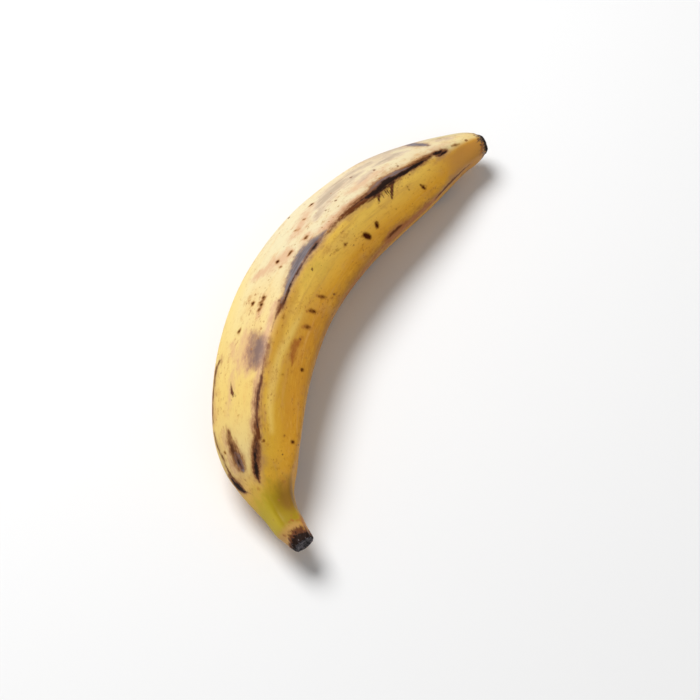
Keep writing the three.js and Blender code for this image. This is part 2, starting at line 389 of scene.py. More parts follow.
        [(188, 78, 2.0, 0.6), (196, 80, 2.8, 0.8), (206, 80, 2.6, 0.7), (214, 78, 1.8, 0.4)],
        [(158, 82, 2.2, 0.6), (150, 84, 2.4, 0.6)],
        [(258, 88, 1.6, 0.5), (250, 86, 2.2, 0.6), (242, 88, 1.6, 0.5)],
        [(60, 236, 2.0, 0.7), (84, 238, 3.2, 0.8), (112, 238, 2.4, 0.7)],
        [(150, 296, 2.4, 0.7), (176, 294, 3.6, 0.8), (206, 298, 2.4, 0.7)],
        [(118, 348, 2.6, 0.7), (134, 350, 2.8, 0.7)],
        [(70, 330, 2.4, 0.6), (92, 336, 3.0, 0.7), (104, 334, 2.0, 0.6)],
        [(190, 212, 2.4, 0.6), (214, 214, 3.0, 0.7), (228, 216, 2.0, 0.6)],
        [(120, 276, 2.6, 0.6), (140, 282, 3.6, 0.8), (158, 280, 2.4, 0.5)],
        [(156, 326, 2.2, 0.6), (166, 330, 3.2, 0.8), (178, 328, 2.6, 0.6)],
        [(120, 212, 2.2, 0.6), (130, 208, 3.0, 0.8), (140, 210, 2.0, 0.5)],
        [(226, 340, 2.0, 0.6), (238, 338, 2.4, 0.6)],
    ],
    # Rubbed grey smears.
    "smear": [
        [(206, 58, 2.0, 0.6), (200, 55, 2.8, 0.85), (194, 50, 3.4, 0.95), (188, 50, 3.8), (182, 55, 4.0),
         (176, 62, 3.4, 0.9), (171, 69, 2.4, 0.7), (167, 74, 1.6, 0.4)],
        [(232, 60, 2.0, 0.6), (226, 59, 2.8, 0.95), (218, 60, 2.8, 1.0), (211, 63, 1.8, 0.7)],
        [(224, 46, 2.4, 0.7), (216, 44, 2.4, 0.7)],
        [(213, 49, 2.8, 0.7), (207, 46, 3.2, 0.8), (202, 44, 2.8, 0.7), (197, 46, 2.2, 0.5)],
        [(197, 62, 2.0, 0.5), (191, 66, 1.8, 0.5)],
        [(209, 68, 1.6, 0.5), (202, 72, 2.0, 0.6), (196, 77, 1.6, 0.4)],
        [(248, 36, 2.0, 0.5), (240, 35, 3.2, 0.95), (230, 31, 3.4, 1.0), (218, 27, 3.2, 0.9),
         (206, 22, 2.4, 0.6)],
        [(258, 66, 2.2, 0.5), (252, 62, 2.4, 0.5)],
        [(98, 350, 1.8, 0.4), (112, 352, 2.4, 0.5), (124, 350, 1.8, 0.4)],
    ],
    # Dark spots.
    "spot": [
        [(177.6, 137, 1.3, 1.0), (178.4, 140, 1.5, 1.1), (179.2, 143, 1.3, 1.0)],
        [(187.4, 136, 1.0, 0.95), (186.8, 140, 1.1, 0.95)],
        [(132, 134, 0.5, 0.45), (133.4, 139, 1.1, 0.66), (134.8, 143, 0.9, 0.62), (135.6, 146, 0.5, 0.4)],
        [(120.4, 131, 0.5, 0.45), (121.5, 135, 1.1, 0.68), (122.2, 139, 1.2, 0.72),
         (123.4, 143, 0.6, 0.45)],
        [(110.6, 134, 0.6, 0.4), (111.6, 137, 1.2, 0.70), (112.2, 141, 0.9, 0.62)],
        [(135, 132, 0.7, 0.3)],
        [(223.4, 132, 0.5, 0.6), (224.2, 137, 0.8, 0.9), (225, 141, 0.7, 0.8), (225.7, 144, 0.4, 0.5)],
        [(225.4, 136, 0.5, 0.5), (227, 140, 0.4, 0.4)],
        [(215.2, 123, 0.6, 0.6)],
        [(215.4, 128, 0.6, 0.6)],
        [(165.3, 126, 0.9, 0.7)],
        [(160, 122, 0.7, 0.6)],
        [(163, 132, 0.5, 0.5)],
        [(202, 139, 0.6, 0.5)],
        [(260, 100, 0.5, 0.35), (257, 99.5, 0.8, 0.6), (254.5, 100, 0.6, 0.45)],
        [(265, 94, 0.6, 0.35)],
        [(175, 47, 0.8, 0.9), (173, 47, 0.5, 0.6)],
        [(165, 58, 0.8, 0.7)],
        [(159, 64, 0.7, 0.5), (158, 59, 0.6, 0.5)],
        [(156, 82, 0.9)],
        [(139.5, 66, 1.0)],
        [(136.5, 75, 0.8, 0.7)],
        [(146, 76, 0.8, 0.9), (144, 76, 0.5, 0.7)],
        [(118.6, 71, 0.8, 0.7), (117.4, 73, 1.0, 0.9)],
        [(114.8, 70, 0.9, 0.75), (113.8, 73, 1.1, 0.85)],
        [(111, 72, 0.9, 0.75)],
        [(115.1, 59, 1.0, 0.95)],
        [(109, 104, 0.7, 0.8)],
        [(166, 87, 0.6, 0.7)],
        [(101.3, 50, 0.9, 0.85), (102.4, 51, 0.6, 0.6)],
        [(89, 146, 1.0, 0.9)],
        [(82.5, 119, 0.6, 0.5)],
        [(49, 140, 1.0, 0.8)],
        [(52, 128, 0.7, 0.5)],
        [(49, 94, 0.6, 0.7)],
        [(50, 26, 0.6, 0.8)],
        [(62, 62, 0.5, 0.5)],
        [(94, 214, 0.8, 0.9)],
        [(136, 252, 0.9)],
        [(206, 274, 0.8, 0.9)],
        [(182, 344, 0.9, 0.9)],
        [(64, 262, 0.8, 0.8)],
        [(106, 318, 0.9, 0.9)],
        [(144, 328, 0.7, 0.8)],
        [(228, 196, 0.8, 0.9)],
    ],
    # A painted highlight: the light band along the inner face.
    "light": [
        [(119, 124, 1.2, 0.4), (110.4, 122, 1.7, 0.8), (104, 119, 1.9, 0.95), (98.3, 116, 2.0),
         (90.2, 111, 2.1), (82, 108, 2.2), (76.4, 107, 2.1), (65.4, 106, 2.0, 0.9), (54, 107, 1.6, 0.7)],
    ],
}

# A bruise lies under each dark stroke. Its half width is the stroke's own times this, and a margin.
BRUISE_WIDENING = {"black": 1.6, "slate": 1.2, "brown": 1.6, "umber": 1.6}
BRUISE_MARGIN = 0.8
FRECKLES, FRECKLE_SEED = 46, 11
# Keeps the length of a stroke with one point above 0.
TINY = 1e-9
# The edges of the strokes wander by these many millimetres, and those of crisp kinds by a share of it.
CRISP = {"spot": 0.3, "scratch": 0.3}
WANDER_ALONG = field_noise(*straight.T, 6)
WANDER_ROUND = 0.5 * field_noise(straight[:, 0], straight[:, 1] + 40, straight[:, 2], 5, 2.5)


def stroke_field(strokes, wander=1.0):
    """How strong the strokes are: fully on their middle, half at their half width, 0 at twice that."""
    best = np.zeros(len(PLACE))
    along_place = PLACE + wander * WANDER_ALONG
    for stroke in strokes:
        ends = [(*point, 1.0)[:4] for point in stroke]
        ends = ends if len(ends) > 1 else ends * 2
        for start, end in zip(ends, ends[1:]):
            (place, turn, width, strength), (end_place, end_turn, end_width, end_strength) = start, end
            turn_gap = (end_turn - turn + 180) % 360 - 180
            across = np.radians(degrees_past(turn)) * RADIUS + wander * WANDER_ROUND
            across_end = np.radians(turn_gap) * RADIUS
            ahead = along_place - place
            ahead_end = end_place - place
            squared_length = ahead_end * ahead_end + across_end * across_end + TINY
            share = np.clip((ahead * ahead_end + across * across_end) / squared_length, 0, 1)
            gap = np.hypot(ahead - share * ahead_end, across - share * across_end)
            width_there = width + share * (end_width - width)
            strength_there = strength + share * (end_strength - strength)
            best = np.maximum(best, strength_there * (1 - gap / (2 * width_there)))
    return best


def put(name, values):
    """Stores a number for each point under that name."""
    layer = mesh.attributes.new(name, "FLOAT", "POINT")
    layer.data.foreach_set("value", values.astype(np.float32))


def freckles(count):
    """Small seeded marks round the underside, from inside the bend to outside: (kind, stroke) pairs."""
    chance = np.random.default_rng(FRECKLE_SEED)
    for _ in range(count):
        place, turn = chance.uniform(30, 262), chance.uniform(178, 364)
        size, reach = chance.uniform(0.45, 0.95), chance.uniform(0, 3.5)
        kind = "brown" if chance.uniform() < 0.35 else "spot"
        end = (place + reach, turn + chance.uniform(-4, 4), 0.7 * size, 0.7)
        yield kind, [(place, turn, size, 0.9), end]


def bruises():
    """The strokes of the bruises under the dark ones."""
    for kind, widening in BRUISE_WIDENING.items():
        for stroke in MARKS[kind]:
            yield [
                (place, turn, widening * width + BRUISE_MARGIN, *strength)
                for place, turn, width, *strength in stroke
            ]


for kind, stroke in freckles(FRECKLES):
    MARKS[kind].append(stroke)
for kind, strokes in MARKS.items():
    put(kind, stroke_field(strokes, CRISP.get(kind, 1.0)))
put("bruise", stroke_field(bruises()))


# ---------------------------------------- where the peel changes colour
def facing(turn):
    """How squarely each point faces that turn: 1 there, and -1 on the far side."""
    return np.cos(np.radians(TURN - turn))


def past_ridge(number):
    """How many degrees each point is past that ridge, from -180 to 180."""
    return degrees_past(RIDGE_ANGLES[number] + through(RIDGE_TWIST, PLACE))


def neck_zones():
    """The burnt stalk end, the tan collar, and the neck: green, moss-green on top, with painted shade in
    its hollow.
    """
    green = through([
        (0, 0.1), (7, 0.4), (11, 0.9), (16, 1.0), (21, 0.9), (28, 0.48), (34, 0.25), (42, 0.08), (60, 0),
    ], PLACE)
    tan = through([(0, 1), (6.5, 1), (9, 0.7), (12, 0.2), (16, 0)], PLACE)
    hollow = through([(6, 0.1), (12, 0.35), (17, 0.8), (22, 1), (27, 0.75), (34, 0.25), (44, 0)], PLACE)
    put("burnt", ramp(PLACE - 2.9 * np.maximum(facing(80), 0), 6.2, -1.8))
    put("tan", tan * np.clip(0.75 + 0.35 * facing(30), 0, 1))
    put("green", green * ramp(facing(60), -1.1, 0.9))
    put("moss", green * np.clip(3.0 * facing(94) - 1.95, 0, 1))
    # Painted shade in the neck's hollow, toward the inner side.
    put("hollow", hollow * np.exp(-((degrees_past(127) / 47) ** 2)))


def inner_zones():
    """Gold and lemon beside the top ridge, dusky yellow past them as painted shade, and russet along the
    inner ridge, deepened by painted shade.
    """
    top, inner = past_ridge(TOP_RIDGE), past_ridge(INNER_RIDGE)
    gold = through([(0, 0), (60, 0.1), (100, 0.7), (125, 1), (225, 1), (246, 0.4), (262, 0)], PLACE)
    lemon = through([(18, 0), (34, 0.7), (50, 1), (68, 0.8), (90, 0.3), (110, 0)], PLACE)
    # Painted shade: a dusky band on the lower inner face, and a darker band just past the top ridge.
    dusk_shade = through([(40, 0), (56, 0.7), (75, 1), (110, 1), (130, 0.6), (150, 0)], PLACE)
    dusk_shade *= ramp(top, 14, 38) * ramp(top, 70, 46)
    beside_ridge = through([(76, 0), (90, 0.7), (120, 0.9), (138, 0)], PLACE)
    beside_ridge *= ramp(np.abs(top - 7), 10.4, 2.4)
    # Russet along the inner ridge, darkened further as painted shade.
    russet_shaded_rim = through([(40, 0), (70, 0.5), (120, 1), (225, 1), (250, 0.3), (277, 0.4)], PLACE)
    put("gold", gold * ramp(top, 0, 6) * ramp(top, 46, 15))
    put("lemon", lemon * ramp(top, 0, 6) * ramp(top, 56, 10))
    put("dusk_shade", np.maximum(dusk_shade, beside_ridge))
    put("russet_shaded_rim", russet_shaded_rim * ramp(np.abs(inner - 6), 26, 0))


def lit_pale_zones():
    """The pale top and outer faces with their creamier part, partly the peel's paler side and partly a
    painted highlight where the light falls, and the ripe orange on the tip's inner side.

    Pale and ripe meet along the top ridge, and a little off it near the tip.
    """
    outer, top = past_ridge(OUTER_RIDGE), past_ridge(TOP_RIDGE)
    past_edge = top - through([(0, 0), (228, 0), (250, 11), (266, 4), (277, -8)], PLACE)
    pale = through([(0, 0.2), (20, 0.2), (28, 0.35), (35, 0.65), (44, 1), (262, 1), (277, 0.75)], PLACE)
    lit_cream = through([
        (0, 0), (26, 0), (34, 0.1), (44, 0.35), (54, 0.25), (72, 0.05), (108, 0.4), (145, 0.9), (185, 1),
        (240, 1), (254, 0.65), (266, 0.45), (277, 0.3),
    ], PLACE)
    low_near_stalk = np.minimum(ramp(outer, 20, -4), 0.8) * ramp(PLACE, 150, 125)
    ripe = through([(0, 0.0), (226, 0), (240, 0.3), (250, 0.8), (258, 1), (277, 1)], PLACE)
    # Pale and cream: partly the peel's paler side, partly a painted highlight on the lit top and outer
    # faces.
    put("pale", pale * ramp(past_edge, 7, -7) * ramp(outer, -50, 0))
    put("lit_cream", lit_cream * (1 - low_near_stalk))
    put("ripe", ripe * ramp(past_edge, -8, 14) * ramp(top, 150, 90))


def tip_zones():
    """Painted shade: the olive grey of the tip's outer side, along its outline. And the crust round the
    blossom scar.
    """
    past_outside = degrees_past(0)
    olive = through([(200, 0), (230, 0.7), (258, 1.0), (277, 1.5)], PLACE)
    # Painted shade along the tip's outer outline.
    put("olive", olive * ramp(past_outside, 62, 32) * ramp(past_outside, -50, 10))
    put("crust", ramp(PLACE, 266, 275))


neck_zones()
inner_zones()
lit_pale_zones()
tip_zones()
put("axis", RADIUS)
layer = mesh.attributes.new("straight", "FLOAT_VECTOR", "POINT")
layer.data.foreach_set("vector", (straight * MM).astype(np.float32).ravel())


# ---------------------------------------- materials
# Colours of the peel, as linear red, green and blue, in the order in which they are laid.
RIPE_YELLOW, WARM_YELLOW = (0.66, 0.305, 0.016), (0.72, 0.35, 0.022)
GOLD = (0.95, 0.60, 0.095)
LEMON = (0.73, 0.43, 0.035)
# Painted shade: the dusky yellow of the lower inner face.
SHADED_DUSKY_YELLOW = (0.52, 0.21, 0.016)
AMBER_STREAK = (0.60, 0.25, 0.016)
STRAW_STREAK = (0.82, 0.50, 0.07)
# Painted highlight: a light band along the inner face.
PAINTED_HIGHLIGHT_BAND = (0.90, 0.61, 0.14)
# Russet along the inner ridge, deepened as painted shade.
RUSSET_AND_SHADE_RIM = (0.36, 0.135, 0.014)
# Partly the peel's own paler side, partly a painted highlight on the lit top and outer faces.
LIT_PALE_YELLOW, LIT_CREAM = (0.77, 0.57, 0.165), (0.70, 0.62, 0.40)
BUFF_STREAK = (0.74, 0.44, 0.13)
FAWN_PATCH = (0.64, 0.35, 0.12)
HONEY_MOTTLE = (0.62, 0.31, 0.08)
GREENISH_GOLD = (0.72, 0.47, 0.07)
FRECKLE_SHADE = (0.58, 0.38, 0.28)
STAIN_SHADE = (0.76, 0.60, 0.50)
# Painted shade along the tip's outer outline.
OLIVE_GREY_SHADE = (0.42, 0.36, 0.17)
NECK_GREEN = (0.475, 0.35, 0.018)
MOSS_GREEN = (0.33, 0.215, 0.002)
# Painted shade in the neck's hollow.
HOLLOW_SHADE_BROWN = (0.20, 0.085, 0.007)
COLLAR_TAN = (0.55, 0.30, 0.09)
RIPE_ORANGE = (0.53, 0.24, 0.042)
BLUSH = (0.60, 0.33, 0.19)
PURPLE_EDGE, PURPLE = (0.42, 0.22, 0.12), (0.17, 0.10, 0.09)
SMEAR_EDGE, SMEAR_GREY = (0.60, 0.44, 0.32), (0.40, 0.31, 0.22)
BRUISE_TAN = (0.44, 0.22, 0.09)
RUST = (0.37, 0.105, 0.012)
UMBER_EDGE, UMBER = (0.26, 0.10, 0.03), (0.075, 0.024, 0.008)
LINE_BROWN = (0.115, 0.030, 0.007)
SCRATCH_BROWN = (0.12, 0.032, 0.008)
FRINGE_BROWN = (0.13, 0.045, 0.012)
# The lighter slate is a painted sheen on the grey streaks.
SLATE_EDGE, DARK_SLATE, PAINTED_SLATE_SHEEN = (0.27, 0.145, 0.085), (0.085, 0.067, 0.073), (0.190, 0.170, 0.187)
SMALL_SPECK, LARGE_SPECK = (0.36, 0.15, 0.03), (0.17, 0.055, 0.012)
SPOT_EDGE, SPOT = (0.40, 0.155, 0.012), (0.055, 0.010, 0.002)
BLACK_EDGE, BLACK = (0.19, 0.07, 0.03), (0.020, 0.009, 0.006)
CHAR_EDGE, CHAR, ASH = (0.14, 0.040, 0.008), (0.020, 0.009, 0.006), (0.19, 0.155, 0.16)
CRUST_EDGE, CRUST = (0.20, 0.10, 0.035), (0.045, 0.030, 0.024)
# Colours of the dry ends, in their hollows and on what stands out.
CUT_COLOURS = (0.005, 0.004, 0.005), (0.15, 0.13, 0.14)
SCAR_COLOURS = (0.012, 0.008, 0.007), (0.07, 0.042, 0.028)


class Nodes:
    """Short ways to add shader nodes to one material."""

    def __init__(self, name):
        self.material = bpy.data.materials.new(name)
        self.material.use_nodes = True
        self.tree = self.material.node_tree
        self.shader = self.tree.nodes["Principled BSDF"]

    def link(self, source, socket):
        """Sets the socket to a number or colour, or links it to another node's output."""
        if isinstance(source, (int, float, tuple)):
            socket.default_value = source
        else:
            self.tree.links.new(source, socket)

    def new(self, kind, **settings):
        """A new node of that kind with those settings."""
        node = self.tree.nodes.new(kind)
        for key, value in settings.items():
            setattr(node, key, value)
        return node

    def field(self, name, vector=False):
        """What the mesh stores for each point under that name."""
        node = self.new("ShaderNodeAttribute", attribute_type="GEOMETRY", attribute_name=name)
        return node.outputs["Vector" if vector else "Fac"]

    def math(self, operation, a, b=0.0, c=None):
        node = self.new("ShaderNodeMath", operation=operation)
        self.link(a, node.inputs[0])
        self.link(b, node.inputs[1])
        if c is not None:
            self.link(c, node.inputs[2])
        return node.outputs[0]

    def noise(self, scale, stretch=1.0, detail=3.0, roughness=0.55, offset=(0.0, 0.0, 0.0)):
        """Noise on the straightened fruit, from 0 to 1, stretched along it."""
        mapping = self.new("ShaderNodeMapping")
        self.link(self.field("straight", vector=True), mapping.inputs["Vector"])
        mapping.inputs["Scale"].default_value = (1.0, 1.0, 1.0 / stretch)
        mapping.inputs["Location"].default_value = offset
        node = self.new("ShaderNodeTexNoise")
        self.link(mapping.outputs[0], node.inputs["Vector"])
        node.inputs["Scale"].default_value = 1 / (scale * MM)
        node.inputs["Detail"].default_value = detail
        node.inputs["Roughness"].default_value = roughness
        return node.outputs["Fac"]

    def specks(self, spacing, radius, share):
        """Small worn dots in a share of cells about spacing millimetres apart.

        The radius of the largest is given as a share of the spacing.
        """
        mapping = self.new("ShaderNodeMapping")
        self.link(self.field("straight", vector=True), mapping.inputs["Vector"])
        mapping.inputs["Location"].default_value = (spacing, 2 * spacing, 0.0)
        cells = self.new("ShaderNodeTexVoronoi")
        self.link(mapping.outputs[0], cells.inputs["Vector"])
        cells.inputs["Scale"].default_value = 1 / (spacing * MM)
        chance = self.new("ShaderNodeSeparateColor")
        self.link(cells.outputs["Color"], chance.inputs[0])
        reach = self.step(chance.outputs[0], 1 - share, 1.0, 0.0, radius)
        gap = self.math("SUBTRACT", cells.outputs["Distance"], reach)
        worn = self.math("MULTIPLY_ADD", self.noise(0.16 * spacing, 1.5, 2.0), 0.22, gap)
        return self.step(worn, 0.07, 0.13, 1.0, 0.0)

    def step(self, value, low, high, out_low=0.0, out_high=1.0):
        """A soft step from out_low to out_high as value goes from low to high."""
        node = self.new("ShaderNodeMapRange", interpolation_type="SMOOTHSTEP")
        self.link(value, node.inputs["Value"])
        ends = {"From Min": low, "From Max": high, "To Min": out_low, "To Max": out_high}
        for socket, number in ends.items():
            node.inputs[socket].default_value = number
        return node.outputs["Result"]

    def rough_field(self, name, *layers):
        """A stored field, its edge broken up by layers of (noise, amount), and still 0 away from it."""
        value = self.field(name)
        wear = 0.0
        for source, amount in layers:
            wear = self.math("MULTIPLY_ADD", self.math("SUBTRACT", source, 0.5), amount, wear)
        return self.math("MULTIPLY_ADD", wear, self.step(value, 0.0, 0.3), value)

    def worn(self, name, low, high, most, *layers):
        """A rough field as a share: 0 where it is under low, and most where it is over high."""
        return self.step(self.rough_field(name, *layers), low, high, 0.0, most)

    def times(self, a, b):
        return self.math("MULTIPLY", a, b)

    def larger(self, a, b):
        return self.math("MAXIMUM", a, b)

    def mix(self, a, b, share, blend="MIX"):
        """Colour a with colour b laid over it by that share."""
        node = self.new("ShaderNodeMix", data_type="RGBA", blend_type=blend)
        self.link(share, node.inputs[0])
        for source, socket in ((a, node.inputs[6]), (b, node.inputs[7])):
            self.link((*source, 1.0) if isinstance(source, tuple) else source, socket)
        return node.outputs[2]

    def bump(self, height, strength, distance, under=None):
        """A bump that rises that distance in millimetres where height is 1, over the bump under it."""
        node = self.new("ShaderNodeBump")
        node.inputs["Strength"].default_value = strength
        node.inputs["Distance"].default_value = distance * MM
        self.link(height, node.inputs["Height"])
        if under is not None:
            self.link(under, node.inputs["Normal"])
        return node.outputs["Normal"]


class Peel(Nodes):
    """The peel's nodes: the noises that wear its colours and marks, and the colour laid so far."""

    def __init__(self, name):
        super().__init__(name)
        self.slow = self.noise(28, stretch=1.6, detail=2.0)
        self.patches = self.noise(13, stretch=1.8, roughness=0.6, offset=(0.1, 0.4, 0.0))
        self.streak = self.noise(2.6, stretch=12, detail=4.0, roughness=0.6)
        self.hair = self.noise(0.9, stretch=16, roughness=0.6)
        self.mottle = self.noise(4.5, stretch=1.6, detail=4.0, roughness=0.6)
        self.fine = self.noise(1.1, stretch=2.2, roughness=0.6, offset=(0.3, 0.1, 0.0))
        self.grain = self.noise(0.45, stretch=1.5, detail=2.0)
        self.frayed = ((self.mottle, 0.7), (self.fine, 0.6), (self.hair, 0.9))
        self.colour = self.mix(RIPE_YELLOW, WARM_YELLOW, self.step(self.slow, 0.35, 0.65))

    def lay(self, colour, share, blend="MIX"):
        """Lays that colour over what is there by that share."""
        self.colour = self.mix(self.colour, colour, share, blend)


def inner_face(peel):
    """Yellows, streaks, a painted highlight band, and russet along the inner ridge deepened by painted
    shade, on the face inside the bend.
    """
    peel.lay(GOLD, peel.field("gold"))
    peel.lay(LEMON, peel.field("lemon"))
    # Painted shade: the dusky band.
    peel.lay(SHADED_DUSKY_YELLOW, peel.worn("dusk_shade", 0.0, 1.0, 0.5, (peel.mottle, 0.7), (peel.slow, 0.5)))
    peel.lay(AMBER_STREAK, peel.step(peel.streak, 0.48, 0.8, 0.0, 0.5))
    peel.lay(STRAW_STREAK, peel.step(peel.hair, 0.5, 0.8, 0.0, 0.35))
    # Painted highlight: the light band along the inner face.
    peel.lay(PAINTED_HIGHLIGHT_BAND, peel.step(peel.field("light"), 0.0, 1.0, 0.0, 0.8))
    # Russet along the inner ridge, darkened further as painted shade.
    russet_shaded_rim = peel.worn("russet_shaded_rim", 0.0, 1.1, 0.8, (peel.mottle, 0.9), (peel.streak, 0.9), (peel.fine, 0.4))
    peel.lay(RUSSET_AND_SHADE_RIM, russet_shaded_rim)


def lit_pale_faces(peel):
    """The pale top and outer faces, partly a painted highlight where the light falls, then streaks and
    patches over all of the peel.
    """
    # Painted highlight, partly the peel's paler side, on the top and outer faces.
    lit_pale_colour = peel.mix(LIT_PALE_YELLOW, LIT_CREAM, peel.field("lit_cream"))
    peel.lay(lit_pale_colour, peel.times(peel.field("pale"), peel.step(peel.slow, 0.2, 0.8, 0.8, 1.0)))
    peel.lay(BUFF_STREAK, peel.step(peel.streak, 0.5, 0.78, 0.0, 0.32))
    peel.lay(FAWN_PATCH, peel.step(peel.patches, 0.5, 0.75, 0.0, 0.26))
    peel.lay(HONEY_MOTTLE, peel.step(peel.mottle, 0.54, 0.78, 0.0, 0.34))
    peel.lay(GREENISH_GOLD, peel.times(peel.step(peel.patches, 0.5, 0.3, 0.0, 0.5), peel.field("gold")))


def weathering_and_tip_shade(peel):
    """Fine freckles and stains in patches, and painted shade: the olive grey of the tip's outer side."""
    freckled = peel.step(peel.patches, 0.44, 0.6, 0.25, 0.75)
    peel.lay(FRECKLE_SHADE, peel.times(peel.step(peel.fine, 0.57, 0.72), freckled), "MULTIPLY")
    stain = peel.step(peel.noise(3.2, 1.3, 5.0, 0.7, (0.5, 0.2, 0.3)), 0.52, 0.7)
    peel.lay(STAIN_SHADE, peel.times(stain, freckled), "MULTIPLY")
    # Painted shade along the tip's outer outline.
    peel.lay(OLIVE_GREY_SHADE, peel.times(peel.field("olive"), 0.62))


def neck_and_tip(peel):
    """The green neck with painted shade in its hollow, its collar, and the ripe orange of the tip."""
    peel.lay(NECK_GREEN, peel.worn("green", 0.1, 0.9, 0.95, (peel.mottle, 0.4), (peel.streak, 0.5)))
    peel.lay(MOSS_GREEN, peel.worn("moss", 0.1, 0.9, 0.95, (peel.mottle, 0.4), (peel.streak, 0.4)))
    # Painted shade in the neck's hollow.
    peel.lay(HOLLOW_SHADE_BROWN, peel.worn("hollow", 0.1, 1.0, 0.85, (peel.mottle, 0.4)))
    peel.lay(COLLAR_TAN, peel.worn("tan", 0.2, 0.9, 0.85, (peel.mottle, 0.3), (peel.fine, 0.3)))
    peel.lay(RIPE_ORANGE, peel.worn("ripe", 0.1, 1.0, 0.9, (peel.mottle, 0.3), (peel.streak, 0.25)))


def soft_marks(peel):
    """Blush, purple bruises, grey smears, the bruises under the dark strokes, and rust."""
    peel.lay(BLUSH, peel.worn("blush", 0.0, 0.9, 0.7, (peel.mottle, 1.0), (peel.fine, 0.7)))
    purple = peel.rough_field("purple", (peel.mottle, 0.7), (peel.fine, 0.7))
    peel.lay(PURPLE_EDGE, peel.step(purple, 0.0, 0.6, 0.0, 0.75))
    peel.lay(PURPLE, peel.step(purple, 0.2, 1.0, 0.0, 0.9))
    smear = peel.rough_field("smear", (peel.mottle, 1.0), (peel.streak, 1.3), (peel.hair, 1.1))
    peel.lay(SMEAR_EDGE, peel.step(smear, 0.0, 0.6, 0.0, 0.6))
    peel.lay(SMEAR_GREY, peel.step(smear, 0.25, 1.0, 0.0, 0.75))
    bruise = peel.worn("bruise", 0.0, 1.0, 0.7, (peel.mottle, 1.1), (peel.streak, 0.7), (peel.fine, 0.5))
    peel.lay(BRUISE_TAN, bruise)
    peel.lay(RUST, peel.worn("rust", 0.1, 0.9, 0.85, (peel.mottle, 0.9), (peel.fine, 0.7)))


def brown_marks(peel):
    """Umber streaks, brown lines, scratches and fringes. Gives where the streaks and lines are."""
    umber = peel.rough_field("umber", *peel.frayed)
    peel.lay(UMBER_EDGE, peel.step(umber, 0.0, 0.5, 0.0, 0.85))
    peel.lay(UMBER, peel.step(umber, 0.3, 0.85, 0.0, 0.95))
    lines = peel.worn("brown", 0.12, 0.75, 0.94, *peel.frayed)
    peel.lay(LINE_BROWN, lines)
    peel.lay(SCRATCH_BROWN, peel.worn("scratch", 0.15, 0.7, 1.0, (peel.fine, 0.5)))
    fringe = peel.math("MULTIPLY_ADD", peel.noise(6.0, 0.14, 2.0, 0.5), 4.0, peel.field("fringe"))
    peel.lay(FRINGE_BROWN, peel.step(fringe, 3.1, 3.4, 0.0, 0.9))
    return peel.larger(lines, peel.step(umber, 0.2, 0.8))


def slate_marks(peel):
    """Grey streaks with a brown edge, their lighter grey partly a painted sheen. Gives where they are."""
    peel.lay(SLATE_EDGE, peel.worn("slate", 0.1, 0.65, 0.75, (peel.mottle, 0.8), (peel.fine, 0.5)))
    slate = peel.worn("slate", 0.2, 0.85, 0.95, *peel.frayed)
    # Lighter slate: a painted sheen on the grey streaks.
    peel.lay(peel.mix(DARK_SLATE, PAINTED_SLATE_SHEEN, peel.step(peel.hair, 0.35, 0.62)), slate)
    return slate


def specks_and_spots(peel):
    """Specks of two sizes and the spots. Gives where the spots are."""
    small = peel.times(peel.specks(3.4, 0.20, 0.9), peel.step(peel.patches, 0.46, 0.62, 0.1, 0.8))
    peel.lay(SMALL_SPECK, peel.times(small, peel.step(peel.hair, 0.35, 0.6, 0.5, 1.0)))
    peel.lay(LARGE_SPECK, peel.times(peel.specks(7.5, 0.14, 0.6), 0.8))
    peel.lay(SPOT_EDGE, peel.worn("spot", 0.0, 0.5, 0.7, (peel.fine, 0.6)))
    spot = peel.worn("spot", 0.2, 0.75, 1.0, (peel.fine, 0.35))
    peel.lay(SPOT, spot)
    return spot


def black_marks(peel):
    """Black streaks with a brown edge. Gives where they are."""
    peel.lay(BLACK_EDGE, peel.worn("black", 0.0, 0.5, 0.75, (peel.mottle, 0.8), (peel.fine, 0.5)))
    black = peel.worn("black", 0.22, 0.7, 1.0, *peel.frayed)
    peel.lay(BLACK, black)
    return black


def dry_ends(peel):
    """The charred stalk end, and the crust round the blossom scar. Gives where it is charred."""
    peel.lay(CHAR_EDGE, peel.worn("burnt", 0.12, 0.5, 1.0, (peel.mottle, 0.9), (peel.fine, 0.8)))
    charred = peel.worn("burnt", 0.5, 0.72, 1.0, (peel.mottle, 0.8), (peel.fine, 1.0))
    peel.lay(peel.mix(CHAR, ASH, peel.step(peel.fine, 0.58, 0.70)), charred)
    crust = peel.math("MULTIPLY_ADD", peel.fine, 1.7, peel.field("crust"))
    peel.lay(CRUST_EDGE, peel.step(crust, 1.35, 1.7, 0.0, 0.85))
    peel.lay(CRUST, peel.step(crust, 1.6, 1.9, 0.0, 0.9))
    return charred


